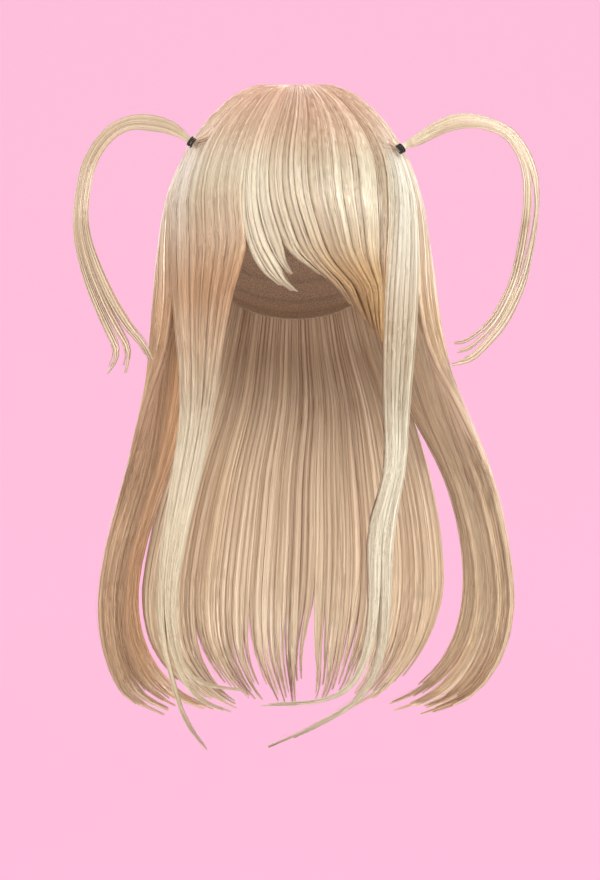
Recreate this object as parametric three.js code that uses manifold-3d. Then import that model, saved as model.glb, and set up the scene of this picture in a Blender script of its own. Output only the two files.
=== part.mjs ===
// A long straight wig: a hollow cap carrying a swept fringe, two face-framing side locks, long back
// hair that curls in at the ends, and two thin tails, each tied at the side of the crown by an elastic.
// Millimetres, +Z up. The face looks along -Y, and +X is on the right of someone facing the wearer.
// The origin is the inside of the cap at the crown, where it sits on the head.
import * as THREE from "three";
import { mergeVertices } from "three/addons/utils/BufferGeometryUtils.js";
import Module from "manifold-3d";

// Driving sizes

// The head that the cap is made for: an upright form with oval sections, squarer in profile than an oval.
const HEAD = { halfWidth: 76, halfDepth: 96, height: 96, squareness: 2.5 };
// The cap follows the head down to the given share of a half turn. Its rim is a slanting plane from the
// forehead to the nape.
const CAP = { wall: 1.5, around: 30, down: 10, turn: 0.8, rimFront: -58, rimNape: -165, napeY: 72 };
const HAIR_CLEARANCE = 2.5; // from the cap to the corners of the hair on it
const PROBE = 0.5; // the steps in which that room is felt for
const PIECE_GAP = 0.6; // between one piece of hair and the next
// A lock's ridge at most and as a share of its width, its thickness at the edges as a share of the most,
// the columns of facets across it, and how soon it narrows once it is parted. At its tip, the share of its
// width and the thickness that are left.
const LOCK = { ridge: 2.2, ridgeShare: 0.16, edge: 0.75, across: 3, taper: 0.7 };
const TIP = { width: 0.22, thick: 1.5 };
const TAIL = { thick: 9, rootThick: 3.6, rootRows: 2, edge: 0.55, bandAt: 3.3 };
const BAND = { turns: 3, cord: 1.5, hole: 2.6, around: 12, cordSides: 4 };

// The outer surface of the dressed hair as rings round the parting. z is the height at the sides, and
// lean is how much lower the front of the ring is and how much higher its back. loft is the most that the
// hair is thick there.
const RINGS = [
  { left: 5, right: 5, front: 5, back: 5, midY: -30, z: 6.5, lean: 1, loft: 5 },
  { left: 20, right: 20, front: 20, back: 24, midY: -27, z: 9, lean: 2, loft: 8 },
  { left: 41, right: 41, front: 42, back: 48, midY: -20, z: 4, lean: 7, loft: 12 },
  { left: 64, right: 64, front: 72, back: 74, midY: -11, z: -14, lean: 8, loft: 14 },
  { left: 79.5, right: 79, front: 93, back: 94, midY: -4, z: -34, lean: 6, loft: 16 },
  { left: 90.5, right: 89.5, front: 104, back: 105, midY: 0, z: -55, lean: 3, loft: 20 },
  { left: 100, right: 98, front: 109, back: 113, midY: 0, z: -82, lean: 0, loft: 22 },
  { left: 105, right: 104, front: 111, back: 118, midY: 0, z: -117, lean: 0, loft: 22 },
  { left: 108, right: 109, front: 110, back: 120, midY: 0, z: -155, lean: 0, loft: 18 },
  { left: 111, right: 115, front: 106, back: 120, midY: 0, z: -192, lean: 0, loft: 15 },
  { left: 117, right: 128, front: 104, back: 119, midY: 0, z: -235, lean: 0, loft: 12 },
  { left: 133, right: 154, front: 104, back: 116, midY: 0, z: -292, lean: 0, loft: 11 },
  { left: 148, right: 167, front: 104, back: 113, midY: 0, z: -345, lean: 0, loft: 10 },
  { left: 156, right: 173, front: 104, back: 108, midY: 0, z: -395, lean: 0, loft: 9 },
  { left: 152, right: 165, front: 104, back: 99, midY: 0, z: -435, lean: 0, loft: 8 },
  { left: 139, right: 144, front: 104, back: 84, midY: 0, z: -465, lean: 0, loft: 7 },
  { left: 112, right: 108, front: 104, back: 62, midY: 0, z: -481, lean: 0, loft: 5 },
];

// Each piece of hair is a sheet between rails, listed from the parting to the tips. A rail is an arc of a
// ring, in degrees from the face towards the right, or a straight line from a to b.
const FRINGE_RAILS = [
  { ring: 0, from: -24, mid: 14, to: 55 },
  { ring: 1, from: -24, mid: 12.5, to: 55 },
  { ring: 2, from: -24, mid: 10, to: 55 },
  { ring: 3, from: -24, mid: 7.5, to: 55 },
  { ring: 4, from: -24, mid: 5.5, to: 54 },
  { ring: 5, from: -23.5, mid: 4.6, to: 52 },
  { ring: 6, from: -22.5, mid: 5.3, to: 47.5 },
  { ring: 6.6, from: -21.3, mid: 8.3, to: 45 },
  { ring: 7.2, from: -17.5, mid: 12.2, to: 41.5 },
  { ring: 7.55, from: -13, mid: 17.5, to: 39.5 },
  { ring: 7.87, from: -5, mid: 23.7, to: 38 },
  { ring: 8.3, from: 10, mid: 27.3, to: 36.5 },
  { ring: 8.73, from: 23, mid: 30.7, to: 35.3 },
  { ring: 9, from: 31, mid: 33.2, to: 34.5 },
];

const LEFT_RAILS = [
  { ring: 0, from: -78, to: -24 },
  { ring: 1, from: -78, to: -24 },
  { ring: 2, from: -78, to: -24 },
  { ring: 3, from: -78, to: -24 },
  { ring: 4, from: -76, to: -24 },
  { ring: 5, from: -73, to: -24.3 },
  { ring: 6, from: -69, to: -23.3 },
  { ring: 7, from: -64, to: -20.6 },
  { ring: 8, from: -58.5, to: -26 },
  { ring: 9, from: -52.5, to: -29.5 },
  { a: [-86.5, -62, -240], b: [-61, -83, -240], loft: 11 },
  { a: [-92, -70, -288], b: [-70.5, -88, -288], loft: 10 },
  { a: [-99.5, -81, -335], b: [-81, -93, -335], loft: 9 },
  { a: [-102, -88, -378], b: [-88, -98, -378], loft: 8 },
  { a: [-100, -92, -412], b: [-87, -101, -410], loft: 7 },
  { a: [-93, -94, -440], b: [-80, -102, -434], loft: 6 },
  { a: [-82, -97, -474], b: [-66, -103, -444], loft: 5 },
  { a: [-66, -100, -497], b: [-36, -104, -448], loft: 3 },
];

const RIGHT_RAILS = [
  { ring: 0, from: 55, to: 78 },
  { ring: 1, from: 55, to: 78 },
  { ring: 2, from: 55, to: 78 },
  { ring: 3, from: 55.5, to: 78 },
  { ring: 4, from: 55, to: 76 },
  { ring: 5, from: 53, to: 73 },
  { ring: 6, from: 48.6, to: 69 },
  { ring: 7, from: 43.4, to: 64 },
  { ring: 8, from: 39, to: 58.5 },
  { ring: 9, from: 36, to: 52 },
  { a: [67, -79, -240], b: [87.5, -60, -240], loft: 11 },
  { a: [68, -85, -286], b: [83.5, -66, -286], loft: 10 },
  { a: [55, -92, -333], b: [75, -79, -333], loft: 9 },
  { a: [55, -98, -388], b: [72, -88, -388], loft: 8 },
  { a: [50, -102, -424], b: [67, -94, -426], loft: 7 },
  { a: [36, -104, -450], b: [53, -97, -454], loft: 6 },
  { a: [9, -106, -458], b: [24, -102, -474], loft: 5 },
  { a: [-26, -106, -459], b: [-20, -104, -494], loft: 3 },
];

// The back hair hangs as three sheets, with a gap on each side of the middle one below the shoulders.
const BACK_RIGHT_RAILS = [
  { ring: 0, from: 78.5, to: 156 },
  { ring: 1, from: 78.5, to: 156 },
  { ring: 2, from: 78.5, to: 155 },
  { ring: 3, from: 78.5, to: 153 },
  { ring: 4, from: 76.7, to: 151 },
  { ring: 5, from: 73.7, to: 149 },
  { ring: 6, from: 69.8, to: 147 },
  { ring: 7, from: 65, to: 145 },
  { ring: 8, from: 61, to: 142 },
  { ring: 9, from: 64, to: 138 },
  { ring: 10, from: 80, to: 134 },
  { ring: 11, from: 97, to: 128 },
  { ring: 12, from: 98, to: 126 },
  { ring: 13, from: 100, to: 128 },
  { ring: 14, from: 102, to: 132 },
  { ring: 15, from: 104, to: 140 },
  { ring: 16, from: 108, to: 152 },
];

const BACK_MIDDLE_RAILS = [
  { ring: 0, from: 156, to: 204 },
  { ring: 1, from: 156, to: 204 },
  { ring: 2, from: 155.5, to: 204.5 },
  { ring: 3, from: 153.5, to: 206.5 },
  { ring: 4, from: 151.5, to: 208.5 },
  { ring: 5, from: 149.5, to: 210.5 },
  { ring: 6, from: 147.5, to: 212.5 },
  { ring: 7, from: 145.5, to: 214.5 },
  { ring: 8, from: 142.5, to: 217.5 },
  { ring: 9, from: 138.5, to: 221.5 },
  { ring: 10, from: 134.5, to: 225.5 },
  { ring: 11, from: 135.5, to: 230.5 },
  { ring: 12, from: 135.5, to: 232 },
  { ring: 13, from: 137, to: 232 },
  { ring: 14, from: 139.5, to: 229.5 },
  { ring: 15, from: 145, to: 220 },
  { ring: 16, from: 154, to: 208 },
];

const BACK_LEFT_RAILS = [
  { ring: 0, from: 204, to: 281.5 },
  { ring: 1, from: 204, to: 281.5 },
  { ring: 2, from: 205, to: 281.5 },
  { ring: 3, from: 207, to: 281.5 },
  { ring: 4, from: 209, to: 283.3 },
  { ring: 5, from: 211, to: 286.3 },
  { ring: 6, from: 213, to: 290.2 },
  { ring: 7, from: 215, to: 295 },
  { ring: 8, from: 218, to: 299 },
  { ring: 9, from: 222, to: 296 },
  { ring: 10, from: 226, to: 280 },
  { ring: 11, from: 231, to: 263 },
  { ring: 12, from: 235, to: 262 },
  { ring: 13, from: 235.5, to: 260 },
  { ring: 14, from: 231.5, to: 258 },
  { ring: 15, from: 222, to: 256 },
  { ring: 16, from: 210, to: 252 },
];

// The middle line of each tail from its band, with its width.
const TAIL_LEFT_PATH = [
  { x: -76.3, y: -49.5, z: -39, width: 3.6 },
  { x: -82.4, y: -48.3, z: -33.6, width: 5 },
  { x: -94.8, y: -42, z: -25.2, width: 10 },
  { x: -112, y: -34, z: -20.3, width: 12.5 },
  { x: -126.7, y: -29, z: -19.9, width: 11 },
  { x: -139.8, y: -25, z: -25.3, width: 10.7 },
  { x: -150.4, y: -22.5, z: -35.9, width: 10.7 },
  { x: -158.9, y: -21.5, z: -51.2, width: 11 },
  { x: -163, y: -23, z: -69, width: 11.2 },
  { x: -165, y: -26, z: -89.3, width: 11.8 },
  { x: -163.3, y: -31, z: -108.2, width: 13.5 },
  { x: -158.1, y: -36, z: -127.1, width: 16 },
  { x: -151.1, y: -40.5, z: -145.7, width: 18 },
  { x: -143.1, y: -44, z: -162.9, width: 19.5 },
  { x: -134.1, y: -47.5, z: -180, width: 23 },
  { x: -126.1, y: -50, z: -195.5, width: 30 },
  { x: -124.7, y: -51.5, z: -212.5, width: 38 },
];

const TAIL_RIGHT_PATH = [
  { x: 77.6, y: -49.5, z: -43.7, width: 3.6 },
  { x: 84.5, y: -48.3, z: -39.4, width: 5 },
  { x: 92, y: -44, z: -35.6, width: 8 },
  { x: 112.3, y: -35, z: -23.6, width: 11.3 },
  { x: 125.4, y: -30, z: -19, width: 12 },
  { x: 138.4, y: -26, z: -18.2, width: 10.8 },
  { x: 152.9, y: -23, z: -21.3, width: 9.6 },
  { x: 166.1, y: -21.5, z: -28.3, width: 9.6 },
  { x: 176.8, y: -21.5, z: -43.9, width: 10.3 },
  { x: 181.7, y: -23, z: -60.6, width: 11.8 },
  { x: 182.2, y: -25.5, z: -77.9, width: 12.3 },
  { x: 180.2, y: -30, z: -98.2, width: 12.7 },
  { x: 171.9, y: -39, z: -138.5, width: 13 },
  { x: 164.5, y: -43, z: -157.2, width: 13.5 },
  { x: 154.8, y: -46.5, z: -174.3, width: 14 },
  { x: 143.7, y: -49.5, z: -186.4, width: 15 },
  { x: 131.2, y: -52, z: -196.3, width: 18 },
  { x: 118.4, y: -54, z: -198.5, width: 20 },
];

// The locks of each piece, side by side. to is the share of the sheet where a lock ends, from 0 to 1, tip
// and tipAt are the rail number and the share where it comes to a point, and ridge is how full it is.
const FRINGE_LOCKS = [
  { to: 0.15, tip: 10.25, tipAt: 0.03, ridge: 1 },
  { to: 0.25, tip: 8.7, tipAt: 0.165, ridge: 0.7 },
  { to: 0.35, tip: 8.8, tipAt: 0.335, ridge: 0.8 },
  { to: 0.43, tip: 10.9, tipAt: 0.37, ridge: 1 },
  { to: 0.52, tip: 11.5, tipAt: 0.45, ridge: 0.8 },
  { to: 0.61, tip: 12, tipAt: 0.54, ridge: 1 },
  { to: 0.71, tip: 12.4, tipAt: 0.64, ridge: 0.7 },
  { to: 0.81, tip: 12.7, tipAt: 0.75, ridge: 1 },
  { to: 0.91, tip: 12.9, tipAt: 0.86, ridge: 0.8 },
  { to: 1, tip: 12.8, tipAt: 0.95, ridge: 0.8 },
];

const LEFT_LOCKS = [
  { to: 0.35, tip: 17, tipAt: 0.04, ridge: 1 },
  { to: 0.68, tip: 17, tipAt: 0.62, ridge: 0.8 },
  { to: 1, tip: 17, tipAt: 0.96, ridge: 1 },
];

const RIGHT_LOCKS = [
  { to: 0.5, tip: 17, tipAt: 0.04, ridge: 1 },
  { to: 1, tip: 17, tipAt: 0.96, ridge: 0.8 },
];

const BACK_RIGHT_LOCKS = [
  { to: 0.24, tip: 16, tipAt: 0.12, ridge: 1 },
  { to: 0.5, tip: 15.7, tipAt: 0.38, ridge: 0.7 },
  { to: 0.74, tip: 15.9, tipAt: 0.63, ridge: 1 },
  { to: 1, tip: 15.6, tipAt: 0.88, ridge: 0.8 },
];

const BACK_MIDDLE_LOCKS = [
  { to: 0.21, tip: 15.8, tipAt: 0.12, ridge: 0.9 },
  { to: 0.4, tip: 15.5, tipAt: 0.31, ridge: 0.7 },
  { to: 0.6, tip: 15.8, tipAt: 0.51, ridge: 1 },
  { to: 0.79, tip: 15.5, tipAt: 0.69, ridge: 0.8 },
  { to: 1, tip: 15.9, tipAt: 0.89, ridge: 0.9 },
];

const BACK_LEFT_LOCKS = [
  { to: 0.27, tip: 15.9, tipAt: 0.14, ridge: 1 },
  { to: 0.52, tip: 15.6, tipAt: 0.39, ridge: 0.7 },
  { to: 0.76, tip: 15.8, tipAt: 0.63, ridge: 1 },
  { to: 1, tip: 16, tipAt: 0.88, ridge: 0.8 },
];

const TAIL_LEFT_LOCKS = [
  { to: 0.34, tip: 16, tipAt: 0.04, ridge: 1 },
  { to: 0.67, tip: 16, tipAt: 0.46, ridge: 1 },
  { to: 1, tip: 15.4, tipAt: 0.86, ridge: 1 },
];

const TAIL_RIGHT_LOCKS = [
  { to: 0.34, tip: 16.6, tipAt: 0.05, ridge: 1 },
  { to: 0.67, tip: 16.6, tipAt: 0.45, ridge: 1 },
  { to: 1, tip: 17, tipAt: 0.92, ridge: 1 },
];

// How each kind of piece is drawn out: its rows of facets, and the row where the locks part.
const FRINGE_FORM = { rows: 16, partAt: 14 };
const SIDE_FORM = { rows: 20, partAt: 17 };
const BACK_FORM = { rows: 18, partAt: 16 };
const TAIL_FORM = { rows: 24, partAt: 21 };

const HAIR = new THREE.MeshStandardMaterial({ color: 0xe1c8a5, roughness: 0.42, metalness: 0 });
const NET = new THREE.MeshStandardMaterial({ color: 0xb98f6c, roughness: 0.85, metalness: 0 });
const ELASTIC = new THREE.MeshStandardMaterial({ color: 0x14110f, roughness: 0.35, metalness: 0 });

// Joining and cutting

const wasm = await Module();
wasm.setup();

function solidOf(geometry) {
  const bare = geometry.clone();
  bare.deleteAttribute("normal");
  bare.deleteAttribute("uv");
  const merged = mergeVertices(bare, 1e-4);
  return new wasm.Manifold(
    new wasm.Mesh({
      numProp: 3,
      vertProperties: merged.attributes.position.array,
      triVerts: new Uint32Array(merged.index.array),
    }),
  );
}

function geometryOf(solid) {
  const mesh = solid.getMesh();
  const geometry = new THREE.BufferGeometry();
  geometry.setAttribute("position", new THREE.BufferAttribute(mesh.vertProperties, 3));
  geometry.setIndex(new THREE.BufferAttribute(mesh.triVerts, 1));
  geometry.computeVertexNormals();
  return geometry;
}

// The head and the cap

// One on the head form grown by the given thickness, under one inside it.
function headField(point, grown) {
  const across = point.x / (HEAD.halfWidth + grown);
  const along = point.y / (HEAD.halfDepth + grown);
  const up = (point.z + HEAD.height) / (HEAD.height + grown);
  return Math.hypot(across, along) ** HEAD.squareness + Math.abs(up) ** HEAD.squareness;
}

// The half profile of the head form, grown, from the apex to its lowest point, with a radius of one.
function headProfile(grown) {
  const points = [];
  for (let i = 0; i <= CAP.down; i++) {
    const angle = (i / CAP.down) * CAP.turn * Math.PI;
    const out = Math.sin(angle) ** (2 / HEAD.squareness);
    const up = Math.sign(Math.cos(angle)) * Math.abs(Math.cos(angle)) ** (2 / HEAD.squareness);
    points.push(new THREE.Vector2(out, (HEAD.height + grown) * up - HEAD.height));
  }
  return points;
}

function headShell(grown) {
  const profile = headProfile(grown);
  profile[0].x = 0;
  profile.push(new THREE.Vector2(0, profile.at(-1).y));
  const shell = new THREE.LatheGeometry(profile.reverse(), CAP.around);
  shell.rotateX(Math.PI / 2);
  shell.scale(HEAD.halfWidth + grown, HEAD.halfDepth + grown, 1);
  return solidOf(shell);
}

function makeCap() {
  const slope = Math.atan2(CAP.rimFront - CAP.rimNape, HEAD.halfDepth + CAP.napeY);
  const reach = 4 * HEAD.halfDepth;
  const belowRim = new THREE.BoxGeometry(reach, reach, reach);
  belowRim.translate(0, 0, -reach / 2);
  belowRim.rotateX(-slope);
  belowRim.translate(0, -HEAD.halfDepth, CAP.rimFront);
  const wall = headShell(CAP.wall).subtract(headShell(0));
  return geometryOf(wall.subtract(solidOf(belowRim)));
}

// Sheets of hair

// A ring between two rows of the table.
function ringAt(ring) {
  const low = Math.min(Math.floor(ring), RINGS.length - 2);
  const above = RINGS[low];
  const below = RINGS[low + 1];
  const row = {};
  for (const column of Object.keys(above)) {
    row[column] = THREE.MathUtils.lerp(above[column], below[column], ring - low);
  }
  return row;
}

function ringPoint(ring, degrees) {
  const row = ringAt(ring);
  const angle = THREE.MathUtils.degToRad(degrees);
  const forward = Math.cos(angle);
  const aside = Math.sin(angle);
  return new THREE.Vector3(
    aside * (aside < 0 ? row.left : row.right),
    row.midY - forward * (forward > 0 ? row.front : row.back),
    row.z - row.lean * forward,
  );
}

// The angle at a share of an arc that passes through its own middle angle.
function arcAngle(rail, share) {
  const mid = rail.mid ?? (rail.from + rail.to) / 2;
  const bend = 2 * (rail.from + rail.to) - 4 * mid;
  return rail.from + (rail.to - rail.from - bend) * share + bend * share * share;
}

function railPoint(rail, share) {
  if (rail.ring !== undefined) {
    return ringPoint(rail.ring, arcAngle(rail, share));
  }
  return new THREE.Vector3(...rail.a).lerp(new THREE.Vector3(...rail.b), share);
}

function makeSheet(rails) {
  const last = rails.length - 1;
  const lofts = rails.map((rail) => rail.loft ?? ringAt(rail.ring).loft);
  const pointAt = (share, along) => {
    const line = new THREE.CatmullRomCurve3(rails.map((rail) => railPoint(rail, share)));
    return line.getPoint(Math.min(along / last, 1));
  };
  const outwardAt = (share, along) => {
    const near = 0.02;
    const start = Math.min(along, last - near);
    const down = pointAt(share, start + near).sub(pointAt(share, start));
    const aside = pointAt(share + near, along).sub(pointAt(share - near, along));
    return down.cross(aside).normalize();
  };
  const loftAt = (along) => {
    const low = Math.min(Math.floor(along), last - 1);
    return THREE.MathUtils.lerp(lofts[low], lofts[low + 1], along - low);
  };
  const widthAt = (along) => {
    const middle = pointAt(0.5, along);
    return middle.distanceTo(pointAt(0, along)) + middle.distanceTo(pointAt(1, along));
  };
  return { pointAt, outwardAt, loftAt, widthAt };
}

// How far inwards the hair can go before it meets the cap.
function roomToCap(point, outward, most) {
  const grown = CAP.wall + HAIR_CLEARANCE;
  const probe = new THREE.Vector3();
  let room = 0;
  while (room < most && headField(probe.copy(point).addScaledVector(outward, -room - PROBE), grown) > 1) {
    room += PROBE;
  }
  return Math.min(room, most);
}

// One piece of hair: a closed sheet with a ridge along each lock. Past the row where they part, each lock
// goes on by itself and narrows to its tip. rise and depth give the hair outside and inside the sheet.
function makePiece(sheet, locks, form, rise, depth) {
  const triangles = [];
  const quad = (p, q, r, s) => triangles.push(p, q, r, p, r, s);
  const starts = [0, ...locks.map((lock) => lock.to)];

  const sectionAt = (index, row) => {
    const lock = locks[index];
    const before = locks[Math.max(index - 1, 0)];
    const after = locks[Math.min(index + 1, locks.length - 1)];
    const length = row / form.rows;
    const apart = Math.max(0, (row - form.partAt) / (form.rows - form.partAt));
    const full = (1 - apart) ** LOCK.taper;
    const outer = [];
    const inner = [];
    for (let column = 0; column <= LOCK.across; column++) {
      const aside = column / LOCK.across;
      const arch = 4 * aside * (1 - aside);
      const beside = aside < 0.5 ? before : after;
      const shared = (lock.tip + beside.tip) / 2;
      const reach = THREE.MathUtils.lerp(arch > 0 ? lock.tip : shared, lock.tip, apart);
      const along = length * reach;
      const own = THREE.MathUtils.lerp(starts[index], starts[index + 1], aside);
      const drawn = THREE.MathUtils.lerp(lock.tipAt, own, Math.max(TIP.width, full));
      const inset = PIECE_GAP / 2 / sheet.widthAt(along);
      const share = THREE.MathUtils.clamp(drawn, inset, 1 - inset);
      const point = sheet.pointAt(share, along);
      const outward = sheet.outwardAt(share, along);
      const inwards = Math.max(TIP.thick, depth(along, arch, point, outward) * full);
      outer.push(point.clone().addScaledVector(outward, rise(along, arch) * lock.ridge * full));
      inner.push(point.clone().addScaledVector(outward, -inwards));
    }
    return { outer, inner };
  };

  for (let index = 0; index < locks.length; index++) {
    const end = LOCK.across;
    let above = sectionAt(index, 0);
    for (let j = 0; j < end; j++) {
      quad(above.outer[j], above.outer[j + 1], above.inner[j + 1], above.inner[j]);
    }
    for (let row = 1; row <= form.rows; row++) {
      const below = sectionAt(index, row);
      for (let j = 0; j < end; j++) {
        quad(above.outer[j], below.outer[j], below.outer[j + 1], above.outer[j + 1]);
        quad(above.inner[j], above.inner[j + 1], below.inner[j + 1], below.inner[j]);
      }
      const parted = row > form.partAt;
      if (parted || index === 0) {
        quad(above.outer[0], above.inner[0], below.inner[0], below.outer[0]);
      }
      if (parted || index === locks.length - 1) {
        quad(above.outer[end], below.outer[end], below.inner[end], above.inner[end]);
      }
      above = below;
    }
    for (let j = 0; j < end; j++) {
      quad(above.outer[j], above.inner[j], above.inner[j + 1], above.outer[j + 1]);
    }
  }
  const geometry = new THREE.BufferGeometry().setFromPoints(triangles);
  geometry.computeVertexNormals();
  return geometry;
}

// A piece that lies on the cap and hangs from it: inwards it fills its loft or reaches the cap.
function makeHair(rails, locks, form) {
  const sheet = makeSheet(rails);
  const rise = (along, arch) => {
    const lockWidth = sheet.widthAt(along) / locks.length;
    return Math.min(LOCK.ridge, LOCK.ridgeShare * lockWidth) * arch;
  };
  const depth = (along, arch, point, outward) =>
    roomToCap(point, outward, sheet.loftAt(along) * THREE.MathUtils.lerp(LOCK.edge, 1, arch));
  return makePiece(sheet, locks, form, rise, depth);
}

// A tail: a flat bundle round its path, facing the front.
function makeTail(path, locks) {
  const centres = path.map((row) => new THREE.Vector3(row.x, row.y, row.z));
  const line = new THREE.CatmullRomCurve3(centres);
  const facing = new THREE.Vector3(0, -1, 0);
  const rails = path.map((row, index) => {
    const along = line.getTangent(index / (path.length - 1));
    const half = facing.clone().cross(along).normalize().multiplyScalar(row.width / 2);
    const thick = index < TAIL.rootRows ? TAIL.rootThick : TAIL.thick;
    const a = centres[index].clone().sub(half).toArray();
    const b = centres[index].clone().add(half).toArray();
    return { a, b, loft: thick / 2 };
  });
  const sheet = makeSheet(rails);
  const halfThick = (along, arch) => sheet.loftAt(along) * THREE.MathUtils.lerp(TAIL.edge, 1, arch);
  return makePiece(sheet, locks, TAIL_FORM, halfThick, halfThick);
}

// An elastic wound in a few turns round the root of a tail.
function makeBand() {
  const cordRadius = BAND.cord / 2;
  const length = BAND.turns * BAND.cord;
  const profile = [new THREE.Vector2(BAND.hole, -length / 2)];
  for (let turn = 0; turn < BAND.turns; turn++) {
    const middle = (turn + 0.5) * BAND.cord - length / 2;
    for (let side = 1; side < BAND.cordSides; side++) {
      const angle = Math.PI * (side / BAND.cordSides - 0.5);
      const out = BAND.hole + cordRadius * (1 + Math.cos(angle));
      profile.push(new THREE.Vector2(out, middle + cordRadius * Math.sin(angle)));
    }
  }
  profile.push(new THREE.Vector2(BAND.hole, length / 2));
  profile.push(profile[0].clone());
  return new THREE.LatheGeometry(profile, BAND.around);
}

// The assembly

const wig = new THREE.Group();

function place(name, geometry, material) {
  const mesh = new THREE.Mesh(geometry, material);
  mesh.name = name;
  wig.add(mesh);
  return mesh;
}

function placeBand(name, path) {
  const band = place(name, makeBand(), ELASTIC);
  const root = new THREE.Vector3(path[0].x, path[0].y, path[0].z);
  const next = new THREE.Vector3(path[1].x, path[1].y, path[1].z);
  const along = next.sub(root).normalize();
  band.position.copy(root).addScaledVector(along, TAIL.bandAt);
  band.quaternion.setFromUnitVectors(new THREE.Vector3(0, 1, 0), along);
}

place("cap", makeCap(), NET);
place("fringe", makeHair(FRINGE_RAILS, FRINGE_LOCKS, FRINGE_FORM), HAIR);
place("side_left", makeHair(LEFT_RAILS, LEFT_LOCKS, SIDE_FORM), HAIR);
place("side_right", makeHair(RIGHT_RAILS, RIGHT_LOCKS, SIDE_FORM), HAIR);
place("back_right", makeHair(BACK_RIGHT_RAILS, BACK_RIGHT_LOCKS, BACK_FORM), HAIR);
place("back_middle", makeHair(BACK_MIDDLE_RAILS, BACK_MIDDLE_LOCKS, BACK_FORM), HAIR);
place("back_left", makeHair(BACK_LEFT_RAILS, BACK_LEFT_LOCKS, BACK_FORM), HAIR);
place("tail_left", makeTail(TAIL_LEFT_PATH, TAIL_LEFT_LOCKS), HAIR);
place("tail_right", makeTail(TAIL_RIGHT_PATH, TAIL_RIGHT_LOCKS), HAIR);
placeBand("band_left", TAIL_LEFT_PATH);
placeBand("band_right", TAIL_RIGHT_PATH);

export default wig;
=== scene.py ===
import math
from collections import namedtuple

import bpy
import numpy as np
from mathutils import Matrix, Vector


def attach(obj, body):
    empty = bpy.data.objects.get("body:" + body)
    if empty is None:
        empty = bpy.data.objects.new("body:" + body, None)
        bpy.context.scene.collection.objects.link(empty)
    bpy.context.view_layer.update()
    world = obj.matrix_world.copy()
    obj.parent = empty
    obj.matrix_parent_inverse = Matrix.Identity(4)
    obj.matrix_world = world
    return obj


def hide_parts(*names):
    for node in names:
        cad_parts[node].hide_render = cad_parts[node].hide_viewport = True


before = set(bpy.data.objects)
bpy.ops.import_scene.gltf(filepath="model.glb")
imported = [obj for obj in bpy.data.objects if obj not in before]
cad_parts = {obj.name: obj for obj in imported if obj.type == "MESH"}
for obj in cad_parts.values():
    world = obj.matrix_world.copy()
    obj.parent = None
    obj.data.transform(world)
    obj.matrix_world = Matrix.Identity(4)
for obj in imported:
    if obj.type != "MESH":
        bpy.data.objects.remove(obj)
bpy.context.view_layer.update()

# Camera, light and stage

CAMERA_AT = (0.0039, -2.2, -0.264)
CAMERA_LENS = 115.4  # mm, for 36 mm along the picture's long side
FLOOR_Z = -1.4
WALL_Y = 4.4
STAGE_HALF_WIDTH = 2.6
STAGE_FRONT = -2.4
STAGE_TOP = 2.2
COVE_RADIUS = 0.8
COVE_STEPS = 16
FLOOR_COLOUR = (0.80, 0.70, 0.74, 1)
BACKDROP_COLOUR = (0.71, 0.43, 0.59, 1)
BACKDROP_GLOW = (0.58, 0.30, 0.41, 1)
BACKDROP_GLOW_STRENGTH = 1
PAPER_ROUGHNESS = 0.9
WORLD_COLOUR = (1.0, 0.95, 0.94, 1)
WORLD_STRENGTH = 0.38
LOOK_AT = (0.0, 0.0, -0.2)

Lamp = namedtuple("Lamp", "name at width height watts colour")
LAMPS = [
    Lamp("key", (0.9, -2.2, 0.65), 1.1, 0.9, 42, (1.0, 0.95, 0.89)),
    Lamp("fill", (-1.6, -1.8, 0.0), 1.4, 1.6, 17, (1.0, 0.90, 0.83)),
    Lamp("rim_left", (-1.3, 0.7, 0.5), 0.5, 1.4, 17, (1.0, 0.97, 0.94)),
    Lamp("rim_right", (1.3, 0.7, 0.5), 0.5, 1.4, 17, (1.0, 0.97, 0.94)),
    Lamp("top", (0.0, 1.0, 1.3), 1.4, 0.5, 10, (1.0, 0.97, 0.94)),
]


def new_object(name, data):
    made = bpy.data.objects.new(name, data)
    bpy.context.scene.collection.objects.link(made)
    return made


def set_inputs(node, values):
    for name, value in values.items():
        node.inputs[name].default_value = value


def set_camera():
    camera = new_object("camera", bpy.data.cameras.new("camera"))
    camera.data.lens = CAMERA_LENS
    camera.location = CAMERA_AT
    camera.rotation_euler = (math.radians(90), 0, 0)
    bpy.context.scene.camera = camera


def set_light():
    world = bpy.data.worlds.new("studio")
    world.use_nodes = True
    set_inputs(world.node_tree.nodes["Background"], {"Color": WORLD_COLOUR, "Strength": WORLD_STRENGTH})
    bpy.context.scene.world = world
    bpy.context.scene.view_settings.view_transform = "Standard"
    for lamp in LAMPS:
        light = bpy.data.lights.new(lamp.name, "AREA")
        light.shape = "RECTANGLE"
        light.size = lamp.width
        light.size_y = lamp.height
        light.energy = lamp.watts
        light.color = lamp.colour
        placed = new_object(lamp.name, light)
        placed.location = lamp.at
        towards = Vector(LOOK_AT) - Vector(lamp.at)
        placed.rotation_euler = towards.to_track_quat("-Z", "Y").to_euler()


def new_material(name, values):
    """A material with values for its shader, its nodes and the shader."""
    material = bpy.data.materials.new(name)
    material.use_nodes = True
    shader = material.node_tree.nodes["Principled BSDF"]
    set_inputs(shader, values)
    return material, material.node_tree, shader


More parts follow.
